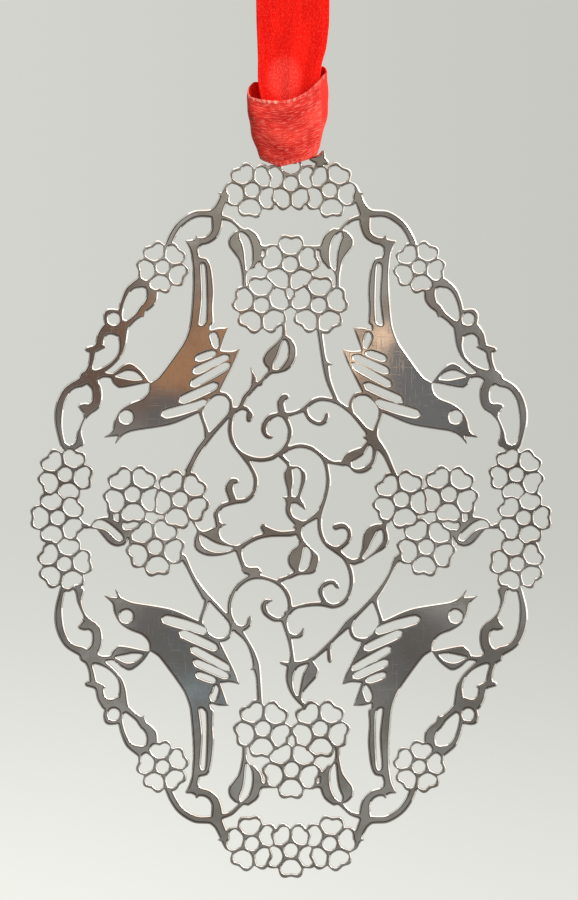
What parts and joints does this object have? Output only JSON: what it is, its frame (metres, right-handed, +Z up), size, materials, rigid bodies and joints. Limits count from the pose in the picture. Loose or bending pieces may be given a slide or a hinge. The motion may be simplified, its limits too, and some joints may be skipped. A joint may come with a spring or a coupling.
{
  "type": "hanging ornament",
  "caption": "Flat oval silver ornament, pierced with birds, blossoms and vines, hung on a loop of red satin ribbon hitched through its top rim.",
  "frame": {"origin": "point under the crown of the ribbon's loop where a hook or twig bears", "axes": "+X right, +Z up, the ornament's face looks along -Y"},
  "size_m": [0.0704, 0.007, 0.1347],
  "materials": {
    "silver": "polished silver with fine rubbing marks",
    "ribbon": "red satin, woven edges"
  },
  "bodies": {
    "hanger": {"ribbon_top_loop": "ribbon"},
    "hitch": {"ribbon_cuff": "ribbon", "ribbon_strand_left": "ribbon", "ribbon_strand_right": "ribbon"},
    "plate": {"pierced_plate": "silver"}
  },
  "joints": [
    {"name": "ribbon_twist", "type": "hinge", "parent": "hanger", "child": "hitch", "pos_m": [0, 0, -0.02347], "axis": [0, 0, 1], "range_deg": [-90, 90], "stiffness_Nm_per_rad": 0.0002},
    {"name": "plate_swing", "type": "hinge", "parent": "hitch", "child": "plate", "pos_m": [0, 0, -0.03682], "axis": [1, 0, 0], "range_deg": [-30, 30]}
  ]
}
